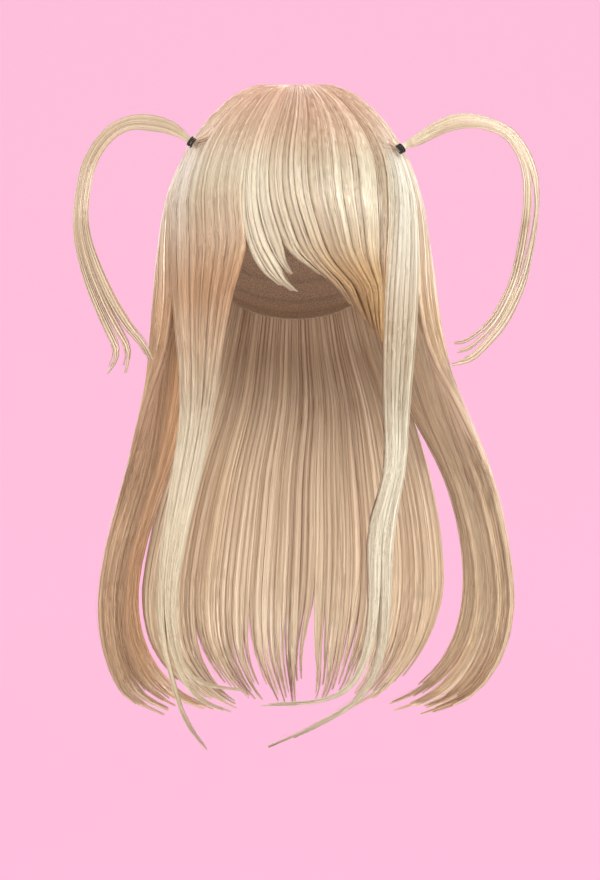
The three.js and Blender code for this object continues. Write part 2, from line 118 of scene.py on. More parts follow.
def make_stage():
    """A pale floor and a cove that curves up from it into a glowing backdrop."""
    profile = [(STAGE_FRONT, FLOOR_Z)]
    for step in range(COVE_STEPS + 1):
        angle = math.radians(90) * step / COVE_STEPS
        y = WALL_Y - COVE_RADIUS * (1 - math.sin(angle))
        z = FLOOR_Z + COVE_RADIUS * (1 - math.cos(angle))
        profile.append((y, z))
    profile.append((WALL_Y, STAGE_TOP))
    vertices = [(x, y, z) for y, z in profile for x in (-STAGE_HALF_WIDTH, STAGE_HALF_WIDTH)]
    faces = [(2 * i, 2 * i + 1, 2 * i + 3, 2 * i + 2) for i in range(len(profile) - 1)]
    mesh = bpy.data.meshes.new("stage")
    mesh.from_pydata(vertices, [], faces)
    mesh.shade_smooth()
    backdrop = {
        "Base Color": BACKDROP_COLOUR,
        "Emission Color": BACKDROP_GLOW,
        "Emission Strength": BACKDROP_GLOW_STRENGTH,
        "Roughness": PAPER_ROUGHNESS,
    }
    floor = {"Base Color": FLOOR_COLOUR, "Roughness": PAPER_ROUGHNESS}
    mesh.materials.append(new_material("backdrop_paper", backdrop)[0])
    mesh.materials.append(new_material("floor_paper", floor)[0])
    mesh.polygons[0].material_index = 1  # the level floor in front of the cove
    new_object("stage", mesh)


set_camera()
set_light()
make_stage()

# Sizes of the hair, as in the solids

# The head that the cap is made for, and the cap on it.
HEAD_HALF_WIDTH = 0.076
HEAD_HALF_DEPTH = 0.096
HEAD_HEIGHT = 0.096
HEAD_SQUARENESS = 2.5
CAP_WALL = 0.0015
RIM_FRONT_Z = -0.058
RIM_NAPE_Z = -0.165
RIM_NAPE_Y = 0.072
STRAND_CLEARANCE = 0.0012  # from the cap to the nearest strand
# A lock's ridge at most, and as a share of its width.
LOCK_RIDGE = 0.0022
LOCK_RIDGE_SHARE = 0.16
TAIL_THICK = 0.009
TAIL_ROOT_THICK = 0.0036
TAIL_ROOT_ROWS = 2

# The outer surface of the dressed hair as rings round the whorl. z is the height at the sides, loft the most
# that the hair is thick there, mid_y the middle of the ring, and lean how much lower its front is.
Ring = namedtuple("Ring", "left right front back z loft mid_y lean", defaults=[0, 0])
RINGS = [
    Ring(0.0008, 0.0008, 0.0008, 0.0008, 0.0065, 0.005, -0.03, 0.001),
    Ring(0.02, 0.02, 0.02, 0.024, 0.009, 0.008, -0.027, 0.002),
    Ring(0.041, 0.041, 0.042, 0.048, 0.004, 0.012, -0.02, 0.007),
    Ring(0.064, 0.064, 0.072, 0.074, -0.014, 0.014, -0.011, 0.008),
    Ring(0.0795, 0.079, 0.093, 0.094, -0.034, 0.016, -0.004, 0.006),
    Ring(0.0905, 0.0895, 0.104, 0.105, -0.055, 0.02, 0.0, 0.003),
    Ring(0.1, 0.098, 0.109, 0.113, -0.082, 0.022),
    Ring(0.105, 0.104, 0.111, 0.118, -0.117, 0.022),
    Ring(0.108, 0.109, 0.11, 0.12, -0.155, 0.018),
    Ring(0.111, 0.115, 0.106, 0.12, -0.192, 0.015),
    Ring(0.117, 0.128, 0.104, 0.119, -0.235, 0.012),
    Ring(0.133, 0.154, 0.104, 0.116, -0.292, 0.011),
    Ring(0.148, 0.167, 0.104, 0.113, -0.345, 0.01),
    Ring(0.156, 0.173, 0.104, 0.108, -0.395, 0.009),
    Ring(0.152, 0.165, 0.104, 0.099, -0.435, 0.008),
    Ring(0.139, 0.144, 0.104, 0.084, -0.465, 0.007),
    Ring(0.112, 0.108, 0.104, 0.062, -0.481, 0.005),
]

# Each piece of hair is a sheet between rails, listed from the whorl to the tips. A rail is an arc of a ring,
# in degrees from the face towards the right, or a straight line from a to b.
Arc = namedtuple("Arc", "ring start mid end")
Line = namedtuple("Line", "a b loft")
LAP = 0.7  # degrees by which the hair of a piece lies over its neighbours


def arc(ring, start, end, mid=None):
    """An arc of a ring, which may pass the middle of its length at an angle of its own."""
    return Arc(ring, start - LAP, (start + end) / 2 if mid is None else mid, end + LAP)


def arcs(*spans):
    """Arcs of one ring after another from the whorl, from their starts and ends."""
    return [arc(ring, *span) for ring, span in enumerate(spans)]


FRINGE_RAILS = [
    arc(0, -24, 55, mid=14),
    arc(1, -24, 55, mid=12.5),
    arc(2, -24, 55, mid=10),
    arc(3, -24, 55, mid=7.5),
    arc(4, -24, 54, mid=5.5),
    arc(5, -23.5, 52, mid=4.6),
    arc(6, -22.5, 47.5, mid=5.3),
    arc(6.6, -21.3, 45, mid=8.3),
    arc(7.2, -17.5, 41.5, mid=12.2),
    arc(7.55, -13, 39.5, mid=17.5),
    arc(7.87, -5, 38, mid=23.7),
    arc(8.3, 10, 36.5, mid=27.3),
    arc(8.73, 23, 35.3, mid=30.7),
    arc(9, 31, 34.5, mid=33.2),
]

LEFT_RAILS = arcs(
    *[(-78, -24)] * 4,
    (-76, -24),
    (-73, -24.3),
    (-69, -23.3),
    (-64, -20.6),
    (-58.5, -26),
    (-52.5, -29.5),
) + [
    Line((-0.0865, -0.062, -0.24), (-0.061, -0.083, -0.24), 0.011),
    Line((-0.092, -0.07, -0.288), (-0.0705, -0.088, -0.288), 0.01),
    Line((-0.0995, -0.081, -0.335), (-0.081, -0.093, -0.335), 0.009),
    Line((-0.102, -0.088, -0.378), (-0.088, -0.098, -0.378), 0.008),
    Line((-0.1, -0.092, -0.412), (-0.087, -0.101, -0.41), 0.007),
    Line((-0.093, -0.094, -0.44), (-0.08, -0.102, -0.434), 0.006),
    Line((-0.082, -0.097, -0.474), (-0.066, -0.103, -0.444), 0.005),
    Line((-0.066, -0.1, -0.497), (-0.036, -0.104, -0.448), 0.003),
]

RIGHT_RAILS = arcs(
    *[(55, 78)] * 3,
    (55.5, 78),
    (55, 76),
    (53, 73),
    (48.6, 69),
    (43.4, 64),
    (39, 58.5),
    (36, 52),
) + [
    Line((0.067, -0.079, -0.24), (0.0875, -0.06, -0.24), 0.011),
    Line((0.068, -0.085, -0.286), (0.0835, -0.066, -0.286), 0.01),
    Line((0.055, -0.092, -0.333), (0.075, -0.079, -0.333), 0.009),
    Line((0.055, -0.098, -0.388), (0.072, -0.088, -0.388), 0.008),
    Line((0.05, -0.102, -0.424), (0.067, -0.094, -0.426), 0.007),
    Line((0.036, -0.104, -0.45), (0.053, -0.097, -0.454), 0.006),
    Line((0.009, -0.106, -0.458), (0.024, -0.102, -0.474), 0.005),
    Line((-0.026, -0.106, -0.459), (-0.02, -0.104, -0.494), 0.003),
]

BACK_RIGHT_SPANS = [
    (78.5, 156),
    (78.5, 156),
    (78.5, 155),
    (78.5, 153),
    (76.7, 151),
    (73.7, 149),
    (69.8, 147),
    (65, 145),
    (61, 142),
    (64, 138),
    (80, 134),
    (97, 128),
    (98, 126),
    (100, 128),
    (102, 132),
    (104, 140),
    (108, 152),
]
BACK_RIGHT_RAILS = arcs(*BACK_RIGHT_SPANS)

BACK_MIDDLE_RAILS = arcs(
    (156, 204),
    (156, 204),
    (155.5, 204.5),
    (153.5, 206.5),
    (151.5, 208.5),
    (149.5, 210.5),
    (147.5, 212.5),
    (145.5, 214.5),
    (142.5, 217.5),
    (138.5, 221.5),
    (134.5, 225.5),
    (135.5, 230.5),
    (135.5, 232),
    (137, 232),
    (139.5, 229.5),
    (145, 220),
    (154, 208),
)

BACK_MIRRORED = 11  # rings on which the left of the back hair mirrors its right
BACK_LEFT_RAILS = arcs(
    *((360 - end, 360 - start) for start, end in BACK_RIGHT_SPANS[:BACK_MIRRORED]),
    (231, 263),
    (235, 262),
    (235.5, 260),
    (231.5, 258),
    (222, 256),
    (210, 252),
)

# The middle line of each tail from its band: x, y, z and its width there.
TAIL_LEFT_PATH = np.array([
    (-0.0763, -0.0495, -0.039, 0.0036),
    (-0.0824, -0.0483, -0.0336, 0.005),
    (-0.0948, -0.042, -0.0252, 0.01),
    (-0.112, -0.034, -0.0203, 0.0125),
    (-0.1267, -0.029, -0.0199, 0.011),
    (-0.1398, -0.025, -0.0253, 0.0107),
    (-0.1504, -0.0225, -0.0359, 0.0107),
    (-0.1589, -0.0215, -0.0512, 0.011),
    (-0.163, -0.023, -0.069, 0.0112),
    (-0.165, -0.026, -0.0893, 0.0118),
    (-0.1633, -0.031, -0.1082, 0.0135),
    (-0.1581, -0.036, -0.1271, 0.016),
    (-0.1511, -0.0405, -0.1457, 0.018),
    (-0.1431, -0.044, -0.1629, 0.0195),
    (-0.1341, -0.0475, -0.18, 0.023),
    (-0.1261, -0.05, -0.1955, 0.03),
    (-0.1247, -0.0515, -0.2125, 0.038),
])

TAIL_RIGHT_PATH = np.array([
    (0.0776, -0.0495, -0.0437, 0.0036),
    (0.0845, -0.0483, -0.0394, 0.005),
    (0.092, -0.044, -0.0356, 0.008),
    (0.1123, -0.035, -0.0236, 0.0113),
    (0.1254, -0.03, -0.019, 0.012),
    (0.1384, -0.026, -0.0182, 0.0108),
    (0.1529, -0.023, -0.0213, 0.0096),
    (0.1661, -0.0215, -0.0283, 0.0096),
    (0.1768, -0.0215, -0.0439, 0.0103),
    (0.1817, -0.023, -0.0606, 0.0118),
    (0.1822, -0.0255, -0.0779, 0.0123),
    (0.1802, -0.03, -0.0982, 0.0127),
    (0.1719, -0.039, -0.1385, 0.013),
    (0.1645, -0.043, -0.1572, 0.0135),
    (0.1548, -0.0465, -0.1743, 0.014),
    (0.1437, -0.0495, -0.1864, 0.015),
    (0.1312, -0.052, -0.1963, 0.018),
    (0.1184, -0.054, -0.1985, 0.02),
])

# The locks of each piece, side by side: the share of the sheet where a lock ends, the rail and the share
# where it comes to a point, how full it is, how far it bows away from the lock before it, and how far its
# tip curls aside.
Lock = namedtuple("Lock", "to tip tip_at ridge bow curl", defaults=[0, 0])

FRINGE_LOCKS = [
    Lock(0.15, 10.25, 0.03, 1),
    Lock(0.25, 9.3, 0.16, 0.7),
    Lock(0.35, 9.5, 0.345, 0.8),
    Lock(0.43, 10.9, 0.37, 1),
    Lock(0.52, 11.5, 0.45, 0.8),
    Lock(0.61, 12, 0.54, 1),
    Lock(0.71, 12.4, 0.64, 0.7),
    Lock(0.81, 12.7, 0.75, 1),
    Lock(0.91, 12.9, 0.86, 0.8),
    Lock(1, 12.8, 0.95, 0.8),
]

LEFT_LOCKS = [
    Lock(0.35, 17, 0.04, 1),
    Lock(0.68, 17, 0.62, 0.8),
    Lock(1, 17, 0.96, 1),
]

RIGHT_LOCKS = [
    Lock(0.5, 17, 0.04, 1),
    Lock(1, 17, 0.96, 0.8),
]

BACK_RIGHT_LOCKS = [
    Lock(0.24, 16, 0.12, 1),
    Lock(0.5, 15.7, 0.38, 0.7),
    Lock(0.74, 15.9, 0.63, 1),
    Lock(1, 15.6, 0.88, 0.8),
]

BACK_MIDDLE_LOCKS = [
    Lock(0.21, 15.8, 0.12, 0.9),
    Lock(0.4, 15.5, 0.31, 0.7),
    Lock(0.6, 15.8, 0.51, 1),
    Lock(0.79, 15.5, 0.69, 0.8),
    Lock(1, 15.9, 0.89, 0.9),
]

BACK_LEFT_LOCKS = [
    Lock(0.27, 15.9, 0.14, 1),
    Lock(0.52, 15.6, 0.39, 0.7),
    Lock(0.76, 15.8, 0.63, 1),
    Lock(1, 16, 0.88, 0.8),
]

TAIL_LEFT_LOCKS = [
    Lock(0.31, 16, 0.24, 1, curl=-0.24),
    Lock(0.6, 16, 0.52, 1, curl=-0.12),
    Lock(1, 15.6, 0.84, 1, curl=0.1),
]

TAIL_RIGHT_LOCKS = [
    Lock(0.26, 16.6, 0.05, 1),
    Lock(0.52, 16.6, 0.42, 1),
    Lock(1, 17, 0.84, 1, bow=0.26),
]

# Sheets of hair

COLUMNS = 65  # of the fine grid across a sheet
STEPS = 10  # rows of the fine grid from one rail to the next
INSIDE = 1.001  # rows or columns that a place stays off the size of a grid, to be in its last cell
TINY = 1e-6


def unit(vectors):
    return vectors / np.maximum(np.linalg.norm(vectors, axis=-1, keepdims=True), TINY)


def smooth(value, low, high):
    """0 below low, 1 above high, and a soft step between them."""
    share = np.clip((value - low) / (high - low), 0, 1)
    return share * share * (3 - 2 * share)


def mix(a, b, share):
    return a + (b - a) * share


def ring_at(ring):
    numbers = np.arange(len(RINGS))
    return Ring(*(np.interp(ring, numbers, column) for column in zip(*RINGS)))


def rail_points(rail, shares):
    if isinstance(rail, Line):
        return mix(np.array(rail.a), np.array(rail.b), shares[:, None])
    bend = 2 * (rail.start + rail.end) - 4 * rail.mid
    degrees = rail.start + (rail.end - rail.start - bend) * shares + bend * shares**2
    forward = np.cos(np.radians(degrees))
    aside = np.sin(np.radians(degrees))
    row = ring_at(rail.ring)
    x = aside * np.where(aside < 0, row.left, row.right)
    y = row.mid_y - forward * np.where(forward > 0, row.front, row.back)
    z = row.z - row.lean * forward
    return np.stack([x, y, z], axis=-1)


def spline(rows):
    """A centripetal Catmull-Rom curve down each column of points, with STEPS points from row to row."""
    before = 2 * rows[:1] - rows[1:2]
    after = 2 * rows[-1:] - rows[-2:-1]
    points = np.concatenate([before, rows, after])
    p0, p1, p2, p3 = points[:-3], points[1:-2], points[2:-1], points[3:]
    gaps = [np.linalg.norm(q - p, axis=-1, keepdims=True) for p, q in ((p0, p1), (p1, p2), (p2, p3))]
    d0, d1, d2 = (np.sqrt(np.maximum(gap, TINY)) for gap in gaps)
    t1 = d1 * ((p1 - p0) / d0 - (p2 - p0) / (d0 + d1) + (p2 - p1) / d1)
    t2 = d1 * ((p2 - p1) / d1 - (p3 - p1) / (d1 + d2) + (p3 - p2) / d2)
    w = (np.arange(STEPS) / STEPS)[None, :, None, None]
    p1, p2, t1, t2 = (part[:, None] for part in (p1, p2, t1, t2))
    curve = p1 + w * (t1 + w * (3 * (p2 - p1) - 2 * t1 - t2 + w * (2 * (p1 - p2) + t1 + t2)))
    return np.concatenate([curve.reshape(-1, *rows.shape[1:]), rows[-1:]])


class Sheet:
    """A sheet of hair between rails, as fine grids whose rows run down the hair and columns across it."""

    def __init__(self, rails):
        shares = np.linspace(0, 1, COLUMNS)
        self.points = spline(np.array([rail_points(rail, shares) for rail in rails]))
        down = np.gradient(self.points, axis=0)
        aside = np.gradient(self.points, axis=1)
        self.outward = unit(np.cross(down, aside))
        self.rails = np.arange(len(self.points)) / STEPS
        lofts = [rail.loft if isinstance(rail, Line) else ring_at(rail.ring).loft for rail in rails]
        self.loft = np.interp(self.rails, np.arange(len(rails)), lofts)
        self.width = np.linalg.norm(np.diff(self.points, axis=1), axis=-1).sum(axis=1)

    def between(self, grid, share, along):
        """Values of a grid at shares of its width and at rails along it."""
        row = np.clip(along * STEPS, 0, len(grid) - INSIDE)
        column = np.clip(share, 0, 1) * (COLUMNS - INSIDE)
        r, c = row.astype(int), column.astype(int)
        low, aside = (row - r)[..., None], (column - c)[..., None]
        above = mix(grid[r, c], grid[r, c + 1], aside)
        below = mix(grid[r + 1, c], grid[r + 1, c + 1], aside)
        return mix(above, below, low)

    def loft_at(self, along):
        return np.interp(along, self.rails, self.loft)

    def width_at(self, along):
        return np.interp(along, self.rails, self.width)


def keep_off_cap(points):
    """Points inside the head and cap, moved out to just over the cap."""
    grown = CAP_WALL + STRAND_CLEARANCE
    across = points[..., 0] / (HEAD_HALF_WIDTH + grown)
    along = points[..., 1] / (HEAD_HALF_DEPTH + grown)
    up = (points[..., 2] + HEAD_HEIGHT) / (HEAD_HEIGHT + grown)
    field = np.hypot(across, along) ** HEAD_SQUARENESS + np.abs(up) ** HEAD_SQUARENESS
    out = np.maximum(field, TINY) ** (-1 / HEAD_SQUARENESS)
    out = np.where(field < 1, out, 1)[..., None]
    centre = np.array([0, 0, -HEAD_HEIGHT])
    return centre + (points - centre) * out


# Locks, wisps and strands

STRAND_RADIUS = 0.00021
STRAND_SIZES = (0.75, 1.25)  # times that radius
STRAND_TIP = 0.3  # share of its radius left at a strand's tip
STRAND_TAPER = 4  # power by which it thins towards it
STRAND_OUT = (-0.0005, 0.0003)  # how far a strand stands out of the wisp under it
ROOT_SINK = 0.003  # how far below its place a strand starts
ROOT_RUN = 0.08  # the share of its length in which it comes up
START_SPREAD = 0.6  # rails over which the roots of a layer with one start are spread
STRAY_SHARE = 0.025
STRAY_WANDER = 6  # times the wander of the others
WANDER_TURNS = (0.5, 1.8)  # waves in the length of a strand
WANDER_OUT = 0.5  # of its wander aside, how far it also wanders out
WISP_RIDGE = 0.0012
WISP_RIDGE_CROWN = 0.35  # share of that ridge at the crown
WISP_LIFT = 0.8  # how far the highest wisps stand out, in ridges
WISP_CUT = 0.42  # how far the cut between two wisps is from its even place, in wisps
WISP_ACROSS = 6  # columns of a wisp's surface
WISP_ROWS_PER_RAIL = 2.4
WISP_DEPTH = 0.75  # share of the loft that the wisps fill
WISP_EDGE = 0.9  # share of that depth at the edges of a wisp
WISP_SHALLOW = 0.86  # share of that depth of the shallowest wisps
WISP_TAPER = 0.03  # how much shorter the wisps at the sides of a lock are
TIP_THICK = 0.0003  # of a lock
TIP_THINNING = 0.6  # power by which a lock thins to that
TAIL_ROUNDNESS = 0.85
DRAW_FROM = 0.2  # share of their length from which the strands of a wisp draw together
BOW = (0.5, 0.78)  # shares of its length between which a lock bows away from its neighbour
CURL_FROM = 0.9  # share of its length from which it curls
EDGE_RUN = 0.014  # how far from its edges a sheet is thinner
EDGE_THICK = 0.2  # share of its thickness at its edges

# The tints of the hair: red, green and blue at rails down its length. A piece has one table, or two that it
# goes over between from its first edge to its last. Besides the hair's own blond, the tables hold painted
# light
# and shade: painted highlights and painted shade at rails down the hair.
# Painted shade and painted pink light from the backdrop: the roots at the whorl darker and pinker.
ROOT_PAINTED_SHADE_TINTS = {0: (0.54, 0.33, 0.24), 1.5: (0.75, 0.46, 0.31)}
# Fringe: a painted highlight in the pale band about rail 5.2, and painted golden shade on the right below
# it.
FRINGE_RIGHT_TINTS = ROOT_PAINTED_SHADE_TINTS | {
    3.5: (0.80, 0.59, 0.42),
    5.2: (0.82, 0.75, 0.57),
    7: (0.82, 0.71, 0.50),
    9: (0.74, 0.50, 0.24),
    12.5: (0.67, 0.41, 0.16),
}
FRINGE_LEFT_TINTS = ROOT_PAINTED_SHADE_TINTS | {
    3.5: (0.80, 0.59, 0.42),
    5.2: (0.83, 0.75, 0.57),
    12.5: (0.85, 0.73, 0.52),
}
# Left side: near white at rail 5 at its outer edge is a painted highlight, and brown about rail 7.8 painted
# shade.
SIDE_LEFT_AWAY_TINTS = ROOT_PAINTED_SHADE_TINTS | {
    3.5: (0.82, 0.62, 0.47),
    5: (0.97, 0.91, 0.81),
    6.2: (0.90, 0.80, 0.66),
    7.8: (0.68, 0.40, 0.19),
    10.5: (0.94, 0.86, 0.66),
    17: (0.93, 0.81, 0.57),
}
SIDE_LEFT_FACE_TINTS = ROOT_PAINTED_SHADE_TINTS | {
    3.5: (0.78, 0.58, 0.42),
    5.2: (0.86, 0.79, 0.60),
    7.8: (0.62, 0.34, 0.14),
    10.5: (0.94, 0.86, 0.66),
    17: (0.93, 0.81, 0.57),
}
# Right side: a painted highlight in the pale band about rails 5 to 7, and painted shade about rail 8.5.
SIDE_RIGHT_TINTS = ROOT_PAINTED_SHADE_TINTS | {
    3.5: (0.80, 0.60, 0.44),
    5: (0.88, 0.86, 0.73),
    7: (0.86, 0.82, 0.67),
    8.5: (0.68, 0.57, 0.39),
    10.5: (0.87, 0.82, 0.65),
    17: (0.84, 0.74, 0.54),
}
# The outside of the back hair, with a painted highlight about rail 5.2 and painted shade about rail 8, and
# then its inside, whose warmer and in places brighter tints are painted light and shade for the light
# between the strands.
BACK_TINTS = ROOT_PAINTED_SHADE_TINTS | {
    3.5: (0.79, 0.59, 0.43),
    5.2: (0.90, 0.83, 0.68),
    8: (0.86, 0.65, 0.41),
    11: (0.88, 0.71, 0.48),
    16: (0.86, 0.70, 0.46),
}
# Deeper and warmer painted shade about rail 8 on the left of the back hair.
BACK_LEFT_TINTS = BACK_TINTS | {8: (0.80, 0.51, 0.27), 11: (0.86, 0.66, 0.42)}
# Inside, left: darker painted shade about rail 8, and brighter orange painted light below it.
BACK_LEFT_INNER_TINTS = ROOT_PAINTED_SHADE_TINTS | {
    3.5: (0.78, 0.58, 0.42),
    5.2: (0.94, 0.86, 0.73),
    8: (0.84, 0.54, 0.28),
    12: (1.0, 0.66, 0.37),
    16: (1.0, 0.69, 0.40),
}
BACK_LEFT_EDGE_TINTS = BACK_LEFT_INNER_TINTS | {
    8: (0.84, 0.56, 0.31),
    12: (1.0, 0.76, 0.50),
    16: (1.0, 0.74, 0.47),
}
# Inside, right: brighter and yellower than the rest, as painted light.
BACK_RIGHT_INNER_TINTS = ROOT_PAINTED_SHADE_TINTS | {
    3.5: (0.80, 0.60, 0.44),
    5.2: (0.88, 0.84, 0.68),
    8.5: (0.96, 0.80, 0.57),
    11: (1.0, 0.83, 0.57),
    13.5: (1.0, 0.82, 0.56),
    16: (1.0, 0.66, 0.41),
}
# Inside, middle: a little darker than the outside, as painted shade.
BACK_MIDDLE_INNER_TINTS = ROOT_PAINTED_SHADE_TINTS | {
    3.5: (0.78, 0.58, 0.42),
    5.2: (0.84, 0.75, 0.56),
    9: (0.80, 0.62, 0.40),
    16: (0.82, 0.65, 0.44),
}
TAIL_TINTS = {
    0: (0.70, 0.57, 0.39),
    7: (0.78, 0.64, 0.46),
    17: (0.76, 0.61, 0.43),
}
STRAND_TONES = 0.05  # spread of tone from strand to strand
TONE_RANGE = (0.6, 1.2)
TONE_POWERS = np.array([1, 1.35, 1.7])  # darker hair is browner
PARTING_SHADE_TINT = np.array([0.42, 0.25, 0.14])  # painted shade: by which the hair is darker in the partings between wisps
PARTING_SHARPNESS = 3.5
PARTING_AT_CROWN = 0.3  # share of their depth there
PARTING_RAILS = (2, 8)  # between which they deepen
TABLES_OVER = (0.2, 0.5)  # shares of a piece between which it goes over to its second table

# How the locks of a piece part and end: the share of their length where they part, how closely a wisp's
# strands and a lock's wisps draw together, the share of a wisp's width left at its tip, how far the wisps
# fan out there, how uneven their ends are, how far a strand wanders, how wide the wisps are at most, their
# spread of tone, and how strong the painted shade in the partings between them is.
Style = namedtuple("Style", "part wisp_pull lock_pull tip_width fan uneven wander wisp_width tones partings")
# A layer of strands: how many, in how many steps, the rail where they start, or None for all over the
# crown, and whether they lie on the outside or the inside of the wisps.
Layer = namedtuple("Layer", "strands segments start outside")


class Hair:
    """A piece of hair: a sheet shared out among locks, and each lock among wisps."""

    def __init__(self, sheet, locks, style, tints, inner_tints, rng, is_tail=False):
        self.sheet = sheet
        self.tints = tints
        self.inner_tints = inner_tints
        self.style = style
        self.is_tail = is_tail
        self.locks = len(locks)
        self.form = Lock(*(np.array(column) for column in zip(*locks)))
        self.lock_low = np.array([0, *self.form.to[:-1]])
        self.widest = sheet.width.max()
        lock_of, low, high = [], [], []
        for index in range(self.locks):
            span = self.form.to[index] - self.lock_low[index]
            count = max(2, round(span * self.widest / style.wisp_width))
            shifts = rng.uniform(-WISP_CUT, WISP_CUT, count - 1)
            cuts = np.array([0, *(np.arange(1, count) + shifts), count]) / count
            lock_of.extend([index] * count)
            low.extend(self.lock_low[index] + span * cuts[:-1])
            high.extend(self.lock_low[index] + span * cuts[1:])
        self.lock_of = np.array(lock_of)
        self.low = np.array(low)
        self.high = np.array(high)
        self.wisps = len(low)
        middle = (self.low + self.high) / 2
        aside = (middle - self.lock_low[self.lock_of]) / (self.form.to - self.lock_low)[self.lock_of]
        length = 1 - style.uneven * rng.random(self.wisps) - WISP_TAPER * np.abs(2 * aside - 1)
        for index in range(self.locks):
            length[self.lock_of == index] /= length[self.lock_of == index].max()
        self.reach = self.form.tip[self.lock_of] * length
        self.tone = 1 + style.tones * rng.standard_normal(self.wisps)
        self.lift = rng.random(self.wisps)

    def lay(self, own, wisp, along):
        """Where lines of hair lie: their shares of the sheet, how far they rise over it, and how thick the
        hair is under them. own is a line's place across the sheet at the whorl."""
        style = self.style
        lock = self.lock_of[wisp]
        done = along / self.reach[wisp]
        parted = smooth(done, style.part, 1)
        drawn = smooth(done, DRAW_FROM, style.part)
        lock_middle = (self.lock_low + self.form.to)[lock] / 2
        middle = (self.low + self.high)[wisp] / 2
        share = own + (middle - own) * style.wisp_pull * drawn
        share = share + (lock_middle - own) * style.lock_pull * drawn
        bowed = np.sin(np.pi * np.clip((done - BOW[0]) / (BOW[1] - BOW[0]), 0, 1)) ** 2
        share = share + self.form.bow[lock] * bowed * (1 - share) / (1 - self.lock_low[lock])
        tip_share = self.form.tip_at[lock] + (middle - lock_middle) * style.fan
        tip_share = tip_share + (own - middle) * style.tip_width
        curled = self.form.curl[lock] * np.clip((done - CURL_FROM) / (1 - CURL_FROM), 0, 1) ** 2
        share = mix(share, tip_share, parted) + curled
        return share, *self.section(own, wisp, along, parted, drawn)

    def section(self, own, wisp, along, parted, drawn):
        """The rise and thickness of hair that is parted and drawn together so far."""
        lock = self.lock_of[wisp]
        loft = self.sheet.loft_at(along)
        across = (own - self.low[wisp]) / (self.high - self.low)[wisp]
        arch = 4 * across * (1 - across)
        thin = (1 - parted) ** TIP_THINNING
        if self.is_tail:
            rise = loft * np.sqrt(1 - TAIL_ROUNDNESS * (2 * own - 1) ** 2) * thin
            return rise + WISP_RIDGE * (arch - 1) * drawn, 2 * rise + TIP_THICK
        aside = (own - self.lock_low[lock]) / (self.form.to - self.lock_low)[lock]
        width = self.sheet.width_at(along)
        most = np.minimum(LOCK_RIDGE, LOCK_RIDGE_SHARE * width / self.locks)
        rise = most * 4 * aside * (1 - aside) * self.form.ridge[lock] * thin
        lifted = arch - 1 + WISP_LIFT * self.lift[wisp]
        rise = rise + WISP_RIDGE * lifted * mix(WISP_RIDGE_CROWN, 1, drawn)
        edge = np.minimum(own, 1 - own) * width
        thick = WISP_DEPTH * loft * mix(WISP_EDGE, 1, arch) * mix(WISP_SHALLOW, 1, self.lift[wisp]) * thin
        thick = thick * mix(EDGE_THICK, 1, smooth(edge, 0, EDGE_RUN))
        return rise, thick + TIP_THICK

    def points(self, share, along, offset):
        """Points at offsets from the sheet, and which way is out there."""
        outward = self.sheet.between(self.sheet.outward, share, along)
        points = self.sheet.between(self.sheet.points, share, along) + outward * offset[..., None]
        return (points if self.is_tail else keep_off_cap(points)), outward


def table_tint(table, along):
    """The tint in a table at rails along the hair."""
    rails = list(table)
    return np.stack([np.interp(along, rails, channel) for channel in zip(*table.values())], axis=-1)


def tint_of(hair, tables, own, wisp, along, tone):
    """The tint of lines of hair, from the first of the tables at one edge of the piece to the last."""
    over = smooth(own, *TABLES_OVER)[..., None]
    tint = mix(table_tint(tables[0], along), table_tint(tables[-1], along), over)
    across = (own - hair.low[wisp]) / (hair.high - hair.low)[wisp]
    # Painted shade in the partings between wisps: weaker at the crown and under lifted wisps.
    deep = hair.style.partings * mix(PARTING_AT_CROWN, 1, smooth(along, *PARTING_RAILS))
    parting = deep * np.abs(2 * across - 1) ** PARTING_SHARPNESS * (1 - hair.lift[wisp])
    tint = tint * mix(1, PARTING_SHADE_TINT, np.minimum(parting, 1)[..., None])
    tint = tint * np.clip(tone * hair.tone[wisp], *TONE_RANGE)[..., None] ** TONE_POWERS
    return tint / np.maximum(tint.max(axis=-1, keepdims=True), 1)


# Meshes from arrays

# Vertices with a tint each, and faces: the vertex at each of their corners, how many corners each has, and
# where the corners are on the map of the flow, in metres along and across the hair, and on the bake map.
Mesh = namedtuple("Mesh", "vertices tints corners sizes flow places")
STRAND_SIDES = 3
STRAND_END = np.array([0.1, 0.5, 0.9])  # the corners of a strand's end, across its strip of the bake map


def faces(*corners):
    """Faces from arrays of their first corners, their second ones and so on."""
    return np.stack(corners, axis=-1).reshape(-1, len(corners))


def tube_quads(index):
    """The sides of tubes, from the numbers of their vertices along and round each tube."""
    beside = np.roll(index, -1, axis=-1)
    return faces(index[..., :-1, :], beside[..., :-1, :], beside[..., 1:, :], index[..., 1:, :])


def tube_places(steps, sides):
    """How far along and round a tube the corners of its sides are, as shares."""
    step = np.arange(steps)[:, None, None] + np.array([0, 0, 1, 1])
    side = np.arange(sides)[None, :, None] + np.array([0, 1, 1, 0])
    return step / steps + 0 * side, side / sides + 0 * step


def run_along(lines):
    """How far along their lines the points are, in metres."""
    lengths = np.linalg.norm(np.diff(lines, axis=-2), axis=-1)
    return np.concatenate([0 * lengths[..., :1], np.cumsum(lengths, axis=-1)], axis=-1)


